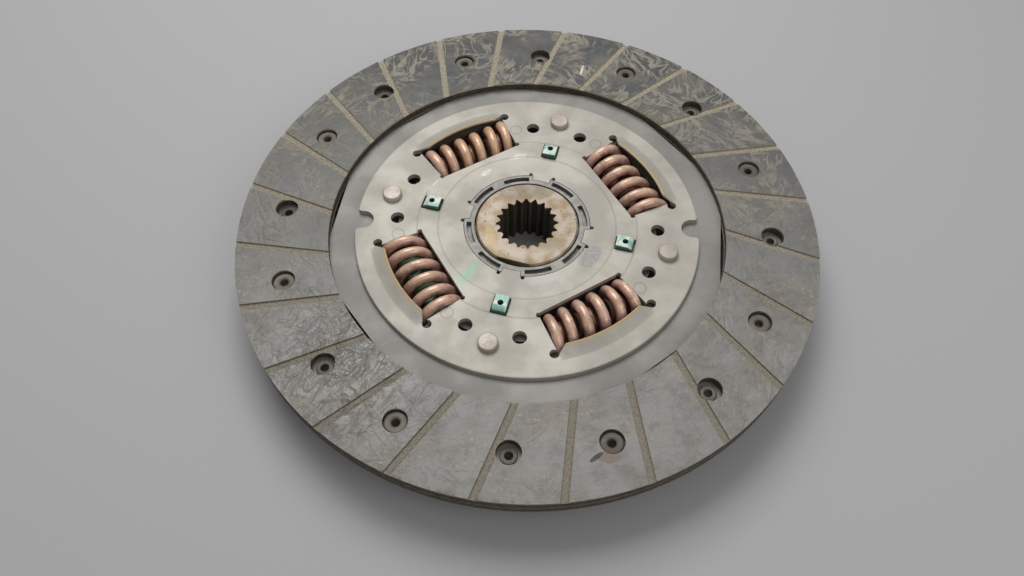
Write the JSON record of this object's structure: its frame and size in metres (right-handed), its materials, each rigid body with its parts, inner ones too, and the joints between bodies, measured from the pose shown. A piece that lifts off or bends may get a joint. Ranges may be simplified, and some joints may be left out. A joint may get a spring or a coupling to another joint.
{
  "type": "clutch disc",
  "caption": "Flat clutch disc with grooved riveted facings on a waved plate, coil damper springs in windows and a splined hub.",
  "frame": {"origin": "on the shaft axis at the hub's lower end, which is the lowest point", "axes": "+Z along the shaft from the hub's long end to its face; +X through one rim notch of the cover plates"},
  "size_m": [0.24, 0.24, 0.0259],
  "materials": {
    "facing": "moulded organic friction lining, worn and dusty",
    "rivet": "dull plated tubular rivet",
    "spring_steel": "bare rolled sheet, greyed",
    "plate_steel": "bare stamped sheet, satin",
    "flange_steel": "fine blanked plate",
    "hub_steel": "machined steel with a light rust film",
    "pin_steel": "hammered rivet heads",
    "coil_lacquer": "coppery brown lacquer on spring wire",
    "coil_green": "green colour-coded lacquer on spring wire",
    "idle_steel": "bright drawn wire",
    "grey_plastic": "moulded grey nylon",
    "green_plastic": "moulded green nylon",
    "friction_plastic": "moulded friction washer"
  },
  "bodies": {
    "disc": {"bottom_facing_rivets": "rivet", "centring_bush": "grey_plastic", "cover_plate_bottom": "plate_steel", "cover_plate_top": "plate_steel", "cushion_plate": "spring_steel", "diaphragm_spring": "spring_steel", "facing_bottom": "facing", "facing_top": "facing", "friction_washer": "friction_plastic", "lower_bush": "grey_plastic", "lug_ring": "green_plastic", "pressure_washer": "spring_steel", "stop_pin_1": "pin_steel", "stop_pin_2": "pin_steel", "stop_pin_3": "pin_steel", "stop_pin_4": "pin_steel", "top_facing_rivets": "rivet"},
    "flange": {"drive_flange": "flange_steel"},
    "hub": {"hub": "hub_steel"},
    "damper_springs": {"damper_spring_1": "coil_lacquer", "damper_spring_2": "coil_lacquer", "damper_spring_3": "coil_lacquer", "damper_spring_4": "coil_lacquer", "inner_spring_1": "coil_lacquer", "inner_spring_2": "coil_lacquer", "inner_spring_3": "coil_green", "inner_spring_4": "coil_lacquer"},
    "idle_springs": {"idle_spring_1": "idle_steel", "idle_spring_2": "idle_steel", "idle_spring_3": "idle_steel", "idle_spring_4": "idle_steel"}
  },
  "joints": [
    {"name": "damper_twist", "type": "hinge", "parent": "disc", "child": "flange", "pos_m": [0, 0, 0.0157], "axis": [0, 0, 1], "range_deg": [-12, 12], "stiffness_Nm_per_rad": 60},
    {"name": "spring_follow", "type": "hinge", "parent": "disc", "child": "damper_springs", "pos_m": [0, 0, 0.0157], "axis": [0, 0, 1], "range_deg": [-6, 6], "deforming": ["damper_spring_1", "damper_spring_2", "damper_spring_3", "damper_spring_4", "inner_spring_1", "inner_spring_2", "inner_spring_3", "inner_spring_4"]},
    {"name": "idle_twist", "type": "hinge", "parent": "flange", "child": "hub", "pos_m": [0, 0, 0.0157], "axis": [0, 0, 1], "range_deg": [-4, 4], "stiffness_Nm_per_rad": 2},
    {"name": "idle_follow", "type": "hinge", "parent": "flange", "child": "idle_springs", "pos_m": [0, 0, 0.0157], "axis": [0, 0, 1], "range_deg": [-2, 2], "deforming": ["idle_spring_1", "idle_spring_2", "idle_spring_3", "idle_spring_4"]}
  ],
  "couplings": [
    {"joint": "spring_follow", "follows": "damper_twist", "ratio": 0.5},
    {"joint": "idle_follow", "follows": "idle_twist", "ratio": 0.5}
  ]
}
